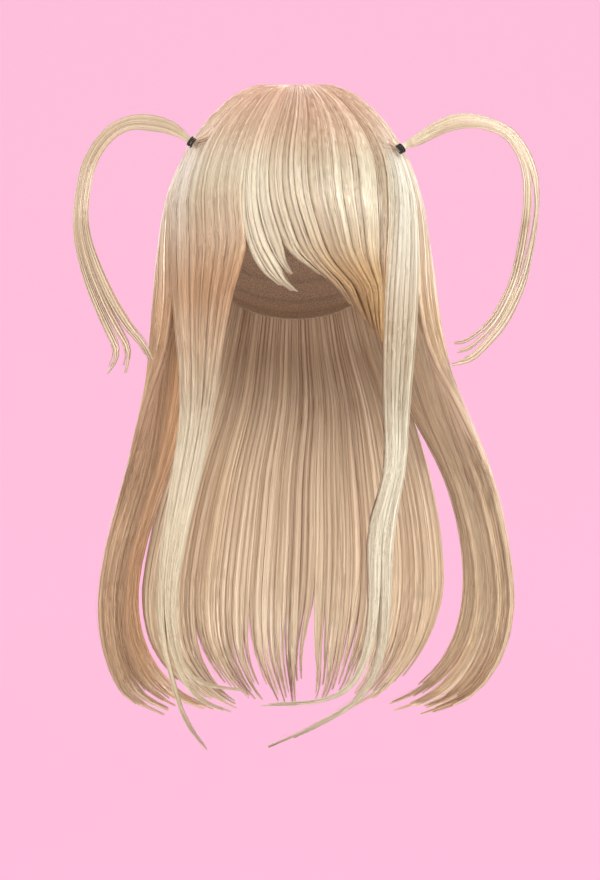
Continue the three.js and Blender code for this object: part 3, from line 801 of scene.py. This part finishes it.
def prisms(lines, outward, radius, tints, rng):
    """Closed three-sided strands along lines."""
    count, length = lines.shape[:2]
    along = unit(np.gradient(lines, axis=1))
    outward = unit(outward - along * np.sum(outward * along, axis=-1, keepdims=True))
    aside = np.cross(along, outward)
    angles = 2 * np.pi * np.arange(STRAND_SIDES) / STRAND_SIDES
    skin = np.cos(angles)[:, None] * outward[:, :, None] + np.sin(angles)[:, None] * aside[:, :, None]
    vertices = lines[:, :, None] + radius[:, :, None, None] * skin
    index = np.arange(count * length * STRAND_SIDES).reshape(count, length, STRAND_SIDES)
    quads = tube_quads(index)
    ends = np.concatenate([index[:, 0, ::-1], index[:, -1]])
    corners = np.concatenate([quads.ravel(), ends.ravel()])
    sizes = np.repeat([4, STRAND_SIDES], [len(quads), len(ends)])

    strand = np.arange(count)[:, None, None, None]
    u, v = tube_places(length - 1, STRAND_SIDES)
    places = np.stack([u + 0 * strand, (strand + v) / count], axis=-1)
    u = np.repeat([0, 1], count)[:, None] + 0 * STRAND_END
    v = (np.tile(np.arange(count), 2)[:, None] + STRAND_END) / count
    places = np.concatenate([places.reshape(-1, 2), np.stack([u, v], axis=-1).reshape(-1, 2)])
    run = run_along(lines)
    flow = np.stack([run, rng.random((count, 1)) + 0 * run], axis=-1)
    flow = np.repeat(flow.reshape(-1, 2), STRAND_SIDES, axis=0)
    tints = np.repeat(tints.reshape(-1, 3), STRAND_SIDES, axis=0)
    return Mesh(vertices.reshape(-1, 3), tints, corners, sizes, flow[corners], places)


def slab(sides, tints, flow, strip, wraps=False):
    """A closed slab between two grids of points, the first of them facing out. strip is its part of the bake
    map, from and to. A slab that wraps goes right round, and its last column joins its first."""
    rows, columns = sides.shape[1:3]
    index = np.arange(rows * columns).reshape(rows, columns)
    if wraps:
        index = np.concatenate([index, index[:, :1]], axis=1)
    under = index + rows * columns
    quads = [
        faces(index[:-1, :-1], index[1:, :-1], index[1:, 1:], index[:-1, 1:]),
        faces(under[:-1, :-1], under[:-1, 1:], under[1:, 1:], under[1:, :-1]),
        faces(index[0, :-1], index[0, 1:], under[0, 1:], under[0, :-1]),
        faces(index[-1, :-1], under[-1, :-1], under[-1, 1:], index[-1, 1:]),
    ]
    if not wraps:
        quads.append(faces(index[:-1, 0], under[:-1, 0], under[1:, 0], index[1:, 0]))
        quads.append(faces(index[:-1, -1], index[1:, -1], under[1:, -1], under[:-1, -1]))
    quads = np.concatenate(quads)
    corners = quads.ravel()
    row, column = np.divmod(np.arange(rows * columns), columns)
    share = column / columns
    halves = np.concatenate([share, 1 + share]) / 2  # the first side in one half of the strip
    places = np.stack([np.tile(row / (rows - 1), 2), mix(*strip, halves)], axis=-1)
    flow = np.tile(flow.reshape(-1, 2), (2, 1))
    sizes = np.full(len(quads), 4)
    return Mesh(sides.reshape(-1, 3), tints.reshape(-1, 3), corners, sizes, flow[corners], places[corners])


def joined(parts):
    """One mesh of several."""
    starts = np.cumsum([0, *(len(part.vertices) for part in parts)])
    parts = [part._replace(corners=part.corners + start) for part, start in zip(parts, starts)]
    return Mesh(*(np.concatenate(column) for column in zip(*parts)))


def in_strip(mesh, low, high):
    """The mesh with its bake map moved into a strip of it."""
    return mesh._replace(places=mesh.places * [1, high - low] + [0, low])


def make_piece(name, mesh, material, node):
    """An object from a mesh of arrays, in place of a CAD node."""
    data = bpy.data.meshes.new(name)
    data.vertices.add(len(mesh.vertices))
    data.vertices.foreach_set("co", mesh.vertices.astype(np.float32).ravel())
    data.loops.add(len(mesh.corners))
    data.loops.foreach_set("vertex_index", mesh.corners.astype(np.int32))
    data.polygons.add(len(mesh.sizes))
    starts = np.cumsum(mesh.sizes) - mesh.sizes
    data.polygons.foreach_set("loop_start", starts.astype(np.int32))
    data.update(calc_edges=True)
    for title, places in {"OFBake": mesh.places, "flow": mesh.flow}.items():
        layer = data.uv_layers.new(name=title, do_init=False)
        layer.uv.foreach_set("vector", places.astype(np.float32).ravel())
    colours = data.color_attributes.new("tint", "FLOAT_COLOR", "POINT")
    tints = np.concatenate([np.clip(mesh.tints, 0, 1), np.ones((len(mesh.tints), 1))], axis=1)
    colours.data.foreach_set("color", tints.astype(np.float32).ravel())
    data.validate()
    data.shade_smooth()
    data.materials.append(material)
    piece = new_object(name, data)
    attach(piece, "root")
    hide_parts(node)


def wisps_of(hair):
    """The wisps of a piece, each a closed ribbon with a rounded face that narrows to its own tip."""
    made = []
    rows = round(hair.form.tip.max() * WISP_ROWS_PER_RAIL)
    s = np.linspace(0, 1, rows + 1)[:, None]
    across = np.linspace(0, 1, WISP_ACROSS)[None, :]
    for index in range(hair.wisps):
        own = mix(hair.low[index], hair.high[index], across)
        along = s * hair.reach[index]
        share, rise, thick = hair.lay(own, index, along)
        sides = np.stack([hair.points(share, along, offset)[0] for offset in (rise, rise - thick)])
        tables = (hair.tints, hair.inner_tints)
        tints = np.stack([tint_of(hair, side, own, index, along, 1) for side in tables])
        run = run_along(sides[0, :, 0])[:, None]
        flow = np.stack([run + 0 * own, own * hair.widest + 0 * run], axis=-1)
        strip = (index / hair.wisps, (index + 1) / hair.wisps)
        made.append(slab(sides, tints, flow, strip))
    return joined(made)


def roots(sheet, layer, rng):
    """The rail where each strand starts: near the layer's own, or all over the crown, as many as the growing
    width needs."""
    if layer.start is not None:
        return layer.start + START_SPREAD * rng.random(layer.strands)
    widest = int(np.argmax(sheet.width))
    growing = np.maximum.accumulate(sheet.width[: widest + 1]) / sheet.width[widest]
    return np.interp(rng.random(layer.strands), growing, sheet.rails[: widest + 1])


def strands_of(hair, layer, rng):
    """A layer of fine strands over the wisps."""
    count = layer.strands
    s = np.linspace(0, 1, layer.segments + 1)[None, :]
    own = (np.arange(count) + rng.random(count)) / count
    wisp = np.clip(np.searchsorted(hair.high, own), 0, hair.wisps - 1)
    ends = hair.reach[wisp] * (1 - hair.style.uneven * rng.random(count) ** 2)
    start = roots(hair.sheet, layer, rng)
    along = mix(start[:, None], ends[:, None], s)
    own, wisp = own[:, None], wisp[:, None]
    share, rise, thick = hair.lay(own, wisp, along)

    stray = rng.random(count) < STRAY_SHARE
    wander = hair.style.wander * np.where(stray, STRAY_WANDER, 1)[:, None] * s
    turns = rng.uniform(*WANDER_TURNS, (count, 1, 2))
    phases = rng.uniform(0, 2 * np.pi, (count, 1, 2))
    waves = np.sin(2 * np.pi * turns * s[..., None] + phases)
    share = share + wander * waves[..., 0] / hair.sheet.width_at(along)
    out = rng.uniform(*STRAND_OUT, count)[:, None]
    out = out + WANDER_OUT * wander * np.abs(waves[..., 1])
    sink = ROOT_SINK * np.clip(1 - s / ROOT_RUN, 0, 1)
    offset = rise + out - sink if layer.outside else rise - thick - out + sink
    lines, outward = hair.points(share, along, offset)
    radius = STRAND_RADIUS * rng.uniform(*STRAND_SIZES, count)[:, None] * mix(1, STRAND_TIP, s**STRAND_TAPER)
    tone = 1 + STRAND_TONES * rng.standard_normal(count)
    tables = hair.tints if layer.outside else hair.inner_tints
    tints = tint_of(hair, tables, own, wisp, along, tone[:, None])
    return prisms(lines, outward, radius, tints, rng)


def dress(hair, layers, rng):
    """The wisps of a piece and its layers of strands."""
    bands = len(layers) + 1
    parts = [in_strip(wisps_of(hair), 0, 1 / bands)]
    for number, layer in enumerate(layers, start=1):
        parts.append(in_strip(strands_of(hair, layer, rng), number / bands, (number + 1) / bands))
    return joined(parts)


# Materials

HAIR_LOOK = {
    "Roughness": 0.36,
    "IOR": 1.8,
    "Specular IOR Level": 0.9,
    "Sheen Weight": 0.1,
    "Sheen Roughness": 0.4,
    "Sheen Tint": (1.0, 0.94, 0.86, 1),
}
STREAK_SCALE = (14, 1500, 1)  # per metre along and across the hair
STREAK_DETAIL = 3
STREAK_RANGE = (0.3, 0.7)  # of the noise
STREAK_TONES = (0.84, 1.1)
STREAK_BUMP = 0.35
STREAK_HEIGHT = 0.0004
LOWLIGHT_SCALE = (4, 380, 1)
LOWLIGHT_DETAIL = 2
LOWLIGHT_RANGE = (0.56, 0.72)
LOWLIGHT_COLOUR = (0.66, 0.50, 0.38, 1)  # by which the darker streaks are tinted


def add_node(tree, kind, values, links):
    """A shader node with values at some of its inputs and outputs of other nodes at others."""
    node = tree.nodes.new("ShaderNode" + kind)
    set_inputs(node, values)
    for name, output in links.items():
        tree.links.new(output, node.inputs[name])
    return node


def tint_and_flow(tree):
    """The outputs with the tints of a mesh and its map of the flow."""
    tint = tree.nodes.new("ShaderNodeVertexColor")
    tint.layer_name = "tint"
    flow = tree.nodes.new("ShaderNodeUVMap")
    flow.uv_map = "flow"
    return tint.outputs["Color"], flow.outputs["UV"]


def noise_along(tree, flow, scale, detail):
    """Noise drawn out along the flow."""
    stretched = add_node(tree, "Mapping", {"Scale": scale}, {"Vector": flow}).outputs["Vector"]
    return add_node(tree, "TexNoise", {"Scale": 1, "Detail": detail}, {"Vector": stretched}).outputs["Fac"]


def mapped(tree, value, source, target=(0, 1)):
    """A value carried over from one range to another."""
    ends = {"From Min": source[0], "From Max": source[1], "To Min": target[0], "To Max": target[1]}
    return add_node(tree, "MapRange", ends, {"Value": value}).outputs["Result"]


def set_colour(tree, shader, colour, tone):
    """A colour times a tone, as the base colour of a shader."""
    toned = tree.nodes.new("ShaderNodeVectorMath")
    toned.operation = "SCALE"
    tree.links.new(colour, toned.inputs["Vector"])
    tree.links.new(tone, toned.inputs["Scale"])
    tree.links.new(toned.outputs["Vector"], shader.inputs["Base Color"])


def add_bump(tree, shader, height, strength, distance):
    """Relief on a shader, and its node."""
    bump = add_node(tree, "Bump", {"Strength": strength, "Distance": distance}, {"Height": height})
    tree.links.new(bump.outputs["Normal"], shader.inputs["Normal"])
    return bump


def hair_material():
    """Tinted fibre with fine streaks along the flow of the hair, some of them brown."""
    material, tree, shader = new_material("hair_fibre", HAIR_LOOK)
    tint, flow = tint_and_flow(tree)
    streaks = noise_along(tree, flow, STREAK_SCALE, STREAK_DETAIL)
    lowlights = mapped(tree, noise_along(tree, flow, LOWLIGHT_SCALE, LOWLIGHT_DETAIL), LOWLIGHT_RANGE)
    darkened = add_node(tree, "MixRGB", {"Color2": LOWLIGHT_COLOUR}, {"Fac": lowlights, "Color1": tint})
    darkened.blend_type = "MULTIPLY"
    set_colour(tree, shader, darkened.outputs["Color"], mapped(tree, streaks, STREAK_RANGE, STREAK_TONES))
    add_bump(tree, shader, streaks, STREAK_BUMP, STREAK_HEIGHT)
    return material


hair_fibre = hair_material()

# The pieces of hair

# The last value of each style is the strength of its painted shade in the partings.
FRINGE_STYLE = Style(0.82, 0.06, 0.03, 0.2, 0.4, 0.05, 0.0004, 0.005, 0.09, 2.6)
SIDE_STYLE = Style(0.74, 0.06, 0.04, 0.12, 0.12, 0.05, 0.0006, 0.004, 0.1, 1.4)
BACK_STYLE = Style(0.86, 0.04, 0, 0.15, 0.8, 0.06, 0.0007, 0.005, 0.11, 1)
TAIL_STYLE = Style(0.84, 0.1, 0.03, 0.5, 0.55, 0.04, 0.0006, 0.0032, 0.08, 1)

Piece = namedtuple("Piece", "name rails locks style tints inner_tints layers")
OVER = [Layer(1300, 14, None, True)]
FRONT = [Layer(700, 24, None, True), Layer(150, 18, 7.0, False)]
BEHIND = [Layer(450, 22, None, True), Layer(300, 14, 7.6, False)]
NAPE = [Layer(700, 22, None, True), Layer(600, 14, 7.9, False)]
FRINGE_TINTS = [FRINGE_LEFT_TINTS, FRINGE_RIGHT_TINTS]
LEFT_TINTS = [SIDE_LEFT_AWAY_TINTS, SIDE_LEFT_FACE_TINTS]
RIGHT_TINTS = [SIDE_RIGHT_TINTS]
OUTSIDE = [BACK_TINTS]
OUTSIDE_LEFT = [BACK_TINTS, BACK_LEFT_TINTS]
INSIDE_RIGHT = [BACK_RIGHT_INNER_TINTS]
INSIDE_MIDDLE = [BACK_MIDDLE_INNER_TINTS]
INSIDE_LEFT = [BACK_LEFT_INNER_TINTS, BACK_LEFT_EDGE_TINTS]
PIECES = [
    Piece("fringe", FRINGE_RAILS, FRINGE_LOCKS, FRINGE_STYLE, FRINGE_TINTS, FRINGE_TINTS, OVER),
    Piece("side_left", LEFT_RAILS, LEFT_LOCKS, SIDE_STYLE, LEFT_TINTS, LEFT_TINTS, FRONT),
    Piece("side_right", RIGHT_RAILS, RIGHT_LOCKS, SIDE_STYLE, RIGHT_TINTS, RIGHT_TINTS, FRONT),
    Piece("back_right", BACK_RIGHT_RAILS, BACK_RIGHT_LOCKS, BACK_STYLE, OUTSIDE, INSIDE_RIGHT, BEHIND),
    Piece("back_middle", BACK_MIDDLE_RAILS, BACK_MIDDLE_LOCKS, BACK_STYLE, OUTSIDE, INSIDE_MIDDLE, NAPE),
    Piece("back_left", BACK_LEFT_RAILS, BACK_LEFT_LOCKS, BACK_STYLE, OUTSIDE_LEFT, INSIDE_LEFT, BEHIND),
]

sheets = {row.name: Sheet(row.rails) for row in PIECES}
for seed, row in enumerate(PIECES):
    rng = np.random.default_rng(seed)
    piece = Hair(sheets[row.name], row.locks, row.style, row.tints, row.inner_tints, rng)
    make_piece(row.name + "_hair", dress(piece, row.layers, rng), hair_fibre, row.name)

# The tails and the hair gathered into them

TAIL_LAYERS = [Layer(44, 48, 0, True), Layer(40, 48, 0, False)]
TAIL_MAP = 0.8  # share of a tail's bake map for its own hair
GATHERED = 160  # strands drawn in to each band
GATHER_STEPS = 10
GATHER_SPREAD = 0.15  # of a half turn, about the way up
GATHER_FROM = (0.014, 0.036)  # how far from the band they start
GATHER_LIFT = 0.0014  # over the sheet, to lie on top of the locks there
GATHER_RISE = 0.35  # share of their length in which they come up
GATHER_TURN = 0.55  # share of their length from which they turn to the band
GATHER_FILL = 0.8  # share of the band's hole that they fill
GATHER_REACH = 1.6  # how far they go along the tail, in places of the band
GATHER_SIZES = (0.9, 1.4)  # times the radius of a strand
GATHER_TINT = np.array([0.80, 0.59, 0.43])
BAND_AT = 0.0033  # from the root of a tail along it
BAND_HOLE = 0.0026


def tail_sheet(path):
    """The sheet through the middle of a tail, facing the front."""
    centres, widths = path[:, :3], path[:, 3:]
    directions = unit(np.gradient(centres, axis=0))
    halves = unit(np.cross([0, -1, 0], directions)) * widths / 2
    rails = []
    for index, (centre, half) in enumerate(zip(centres, halves)):
        thick = TAIL_ROOT_THICK if index < TAIL_ROOT_ROWS else TAIL_THICK
        rails.append(Line(centre - half, centre + half, thick / 2))
    return Sheet(rails)


def root_of(path):
    """Where a tail starts, which way it goes, and the two ways across it."""
    root, following = path[:2, :3]
    direction = unit(following - root)
    aside = unit(np.cross(direction, [0, -1, 0]))
    return root, direction, aside, np.cross(direction, aside)


def gathers(sheet, path, rng):
    """Strands drawn in over the side hair to the band of a tail."""
    root, direction, aside, front = root_of(path)
    nearest = np.argmin(np.linalg.norm(sheet.points - root, axis=-1))
    row, column = np.unravel_index(nearest, sheet.points.shape[:2])
    along_root, share_root = row / STEPS, column / (COLUMNS - 1)
    rail_length = np.linalg.norm(sheet.points[row + STEPS, column] - sheet.points[row, column])
    turn = np.pi * (0.5 + GATHER_SPREAD * rng.standard_normal(GATHERED))
    far = rng.uniform(*GATHER_FROM, GATHERED)
    s = np.linspace(0, 1, GATHER_STEPS + 1)[None, :]
    away = far[:, None] * (1 - s)
    share = share_root + away * np.cos(turn)[:, None] / sheet.width[row]
    along = along_root - away * np.sin(turn)[:, None] / rail_length
    outward = sheet.between(sheet.outward, share, along)
    lift = mix(-ROOT_SINK, GATHER_LIFT, smooth(s, 0, GATHER_RISE))
    lines = sheet.between(sheet.points, share, along) + outward * lift[..., None]
    spread = BAND_HOLE * GATHER_FILL * np.sqrt(rng.random(GATHERED))[:, None]
    angle = 2 * np.pi * rng.random(GATHERED)[:, None]
    place = root + direction * GATHER_REACH * BAND_AT
    place = place + spread * (np.cos(angle) * aside + np.sin(angle) * front)
    lines = mix(lines, place[:, None], smooth(s, GATHER_TURN, 1)[..., None])
    radius = STRAND_RADIUS * rng.uniform(*GATHER_SIZES, GATHERED)[:, None] + 0 * s
    tone = 1 + STRAND_TONES * rng.standard_normal((GATHERED, 1, 1))
    tints = GATHER_TINT * tone + 0 * lines
    return prisms(lines, outward, radius, tints, rng)


Tail = namedtuple("Tail", "name path locks seed")
TAILS = [
    Tail("left", TAIL_LEFT_PATH, TAIL_LEFT_LOCKS, 11),
    Tail("right", TAIL_RIGHT_PATH, TAIL_RIGHT_LOCKS, 12),
]
for tail in TAILS:
    rng = np.random.default_rng(tail.seed)
    sheet = tail_sheet(tail.path)
    piece = Hair(sheet, tail.locks, TAIL_STYLE, [TAIL_TINTS], [TAIL_TINTS], rng, is_tail=True)
    mesh = in_strip(dress(piece, TAIL_LAYERS, rng), 0, TAIL_MAP)
    drawn_in = in_strip(gathers(sheets["side_" + tail.name], tail.path, rng), TAIL_MAP, 1)
    name = "tail_" + tail.name
    make_piece(name + "_hair", joined([mesh, drawn_in]), hair_fibre, name)

# The bands: a thin elastic cord wound round the root of each tail

CORD_RADIUS = 0.00075
CORD_TURNS = 3
CORD_LENGTH = 0.0045  # of the wound band along the tail
CORD_TILT = 0.64  # how far a turn leans along the tail, in radii of the cord
CORD_TIGHTNESS = (0.85, 1.0)  # how far out a turn lies, in radii of the cord
CORD_STEPS = 40
CORD_SIDES = 10
ELASTIC_TINT = np.array([0.016, 0.014, 0.016])
ELASTIC_ROUGHNESS = 0.2
RIB_SCALE = 180  # of the wave, for a rib in about each millimetre of cord
RIB_UNEVENNESS = 0.6
RIB_BUMP = 0.7
RIB_HEIGHT = 0.0003


def cord_turns(path, rng):
    """Closed turns of cord, each tilted a little its own way."""
    root, direction, aside, front = root_of(path)
    angle = (2 * np.pi * np.arange(CORD_STEPS) / CORD_STEPS)[:, None]
    around = (2 * np.pi * np.arange(CORD_SIDES) / CORD_SIDES)[None, :, None]
    radial = np.cos(angle) * aside + np.sin(angle) * front
    skin = np.cos(around) * radial[:, None] + np.sin(around) * direction
    index = np.arange(CORD_STEPS * CORD_SIDES).reshape(CORD_STEPS, CORD_SIDES)
    quads = tube_quads(np.concatenate([index, index[:1]]))
    sizes = np.full(len(quads), 4)
    tints = np.tile(ELASTIC_TINT, (index.size, 1))
    u, v = (places.ravel() for places in tube_places(CORD_STEPS, CORD_SIDES))
    parts = []
    for turn in range(CORD_TURNS):
        place = BAND_AT + (CORD_LENGTH - 2 * CORD_RADIUS) * (turn / (CORD_TURNS - 1) - 0.5)
        wave = CORD_TILT * CORD_RADIUS * np.sin(angle + 2 * np.pi * rng.random())
        radius = BAND_HOLE + CORD_RADIUS * rng.uniform(*CORD_TIGHTNESS)
        middle = root + direction * (place + wave) + radial * radius
        vertices = (middle[:, None] + CORD_RADIUS * skin).reshape(-1, 3)
        flow = 2 * np.pi * np.stack([u * radius, v * CORD_RADIUS], axis=-1)
        places = np.stack([u, (turn + v) / CORD_TURNS], axis=-1)
        parts.append(Mesh(vertices, tints, quads.ravel(), sizes, flow, places))
    return joined(parts)


def elastic_material():
    """Glossy black elastic with fine ribs across the cord."""
    material, tree, shader = new_material("black_elastic", {"Roughness": ELASTIC_ROUGHNESS})
    tint, flow = tint_and_flow(tree)
    tree.links.new(tint, shader.inputs["Base Color"])
    ribs = add_node(tree, "TexWave", {"Scale": RIB_SCALE, "Distortion": RIB_UNEVENNESS}, {"Vector": flow})
    add_bump(tree, shader, ribs.outputs["Fac"], RIB_BUMP, RIB_HEIGHT)
    return material


black_elastic = elastic_material()
for tail in TAILS:
    rng = np.random.default_rng(tail.seed)
    name = "band_" + tail.name
    make_piece(name + "_cord", cord_turns(tail.path, rng), black_elastic, name)

# The cap: a net with rows of sewn wefts and a hem

CAP_AROUND = 120
CAP_ROWS = 84
CAP_TOP = 0.002  # share of the way down where the net starts
CAP_LAST_TURN = 0.8 * np.pi
RIM_HALVINGS = 30  # in the search for the rim
NET_WALL = 0.6  # share of the cap's wall that the net takes
WEFTS = 11
WEFT_HEIGHT = 0.0005
WEFT_SHARPNESS = 8
WEFT_TONE = 0.8
HEM_SHARE = 0.05  # of the way down that the hem takes
HEM_FLAT = 0.7  # share of the hem that has its full height
HEM_HEIGHT = 0.0006
CAP_TINT = np.array([0.86, 0.72, 0.56])
HEM_TINT = np.array([0.74, 0.60, 0.46])
NET_ROUGHNESS = 0.75
NET_SCALE = 620  # cells in each metre
NET_RANGE = (0, 0.25)  # of the distance to a cell's edge
NET_TONES = (1.1, 0.7)
NET_BUMP = 0.6
NET_HEIGHT = 0.0004


def head_points(turn, angle, grown):
    """Points of the head, grown by a wall, at turns down from the crown and at angles round it."""
    power = 2 / HEAD_SQUARENESS
    out = np.sin(turn) ** power
    up = np.sign(np.cos(turn)) * np.abs(np.cos(turn)) ** power
    x = out * (HEAD_HALF_WIDTH + grown) * np.sin(angle)
    y = -out * (HEAD_HALF_DEPTH + grown) * np.cos(angle)
    z = up * (HEAD_HEIGHT + grown) - HEAD_HEIGHT
    return np.stack([x, y, z], axis=-1)


def rim_turns(angle):
    """The turn from the crown at which the head meets the slanting rim of the cap."""
    slope = (RIM_FRONT_Z - RIM_NAPE_Z) / (HEAD_HALF_DEPTH + RIM_NAPE_Y)
    low, high = np.zeros_like(angle), np.full_like(angle, CAP_LAST_TURN)
    for _ in range(RIM_HALVINGS):
        turn = (low + high) / 2
        point = head_points(turn, angle, 0)
        above = point[..., 2] > RIM_FRONT_Z - slope * (point[..., 1] + HEAD_HALF_DEPTH)
        low, high = np.where(above, turn, low), np.where(above, high, turn)
    return low


def cap_mesh():
    """The net of the cap, with its wefts and hem raised on the inside."""
    angle = (2 * np.pi * np.arange(CAP_AROUND) / CAP_AROUND)[None, :]
    down = np.linspace(CAP_TOP, 1, CAP_ROWS + 1)[:, None]
    turn = down * rim_turns(angle)
    weft = np.maximum(np.cos(2 * np.pi * WEFTS * down), 0) ** WEFT_SHARPNESS + 0 * angle
    hem = smooth(down, 1 - HEM_SHARE, 1 - HEM_FLAT * HEM_SHARE) + 0 * angle
    raised = np.maximum(WEFT_HEIGHT * weft * (1 - hem), HEM_HEIGHT * hem)[..., None]
    inner = head_points(turn, angle, 0)
    outward = unit(head_points(turn, angle, CAP_WALL) - inner)
    tints = mix(CAP_TINT, HEM_TINT, hem[..., None]) * mix(1, WEFT_TONE, weft)[..., None]
    flow = np.stack([down * HEAD_HEIGHT * 2 + 0 * angle, angle * HEAD_HALF_WIDTH + 0 * down], axis=-1)
    sides = inner + outward * np.stack([NET_WALL * CAP_WALL - raised, -raised])
    return slab(sides, np.stack([tints, tints]), flow, (0, 1), wraps=True)


def net_material():
    """Fine elastic net, seen as small cells."""
    material, tree, shader = new_material("cap_net", {"Roughness": NET_ROUGHNESS})
    tint, flow = tint_and_flow(tree)
    cells = add_node(tree, "TexVoronoi", {"Scale": NET_SCALE}, {"Vector": flow})
    cells.feature = "DISTANCE_TO_EDGE"
    to_edge = cells.outputs["Distance"]
    set_colour(tree, shader, tint, mapped(tree, to_edge, NET_RANGE, NET_TONES))
    bump = add_bump(tree, shader, to_edge, NET_BUMP, NET_HEIGHT)
    bump.invert = True
    return material


make_piece("cap_net", cap_mesh(), net_material(), "cap")
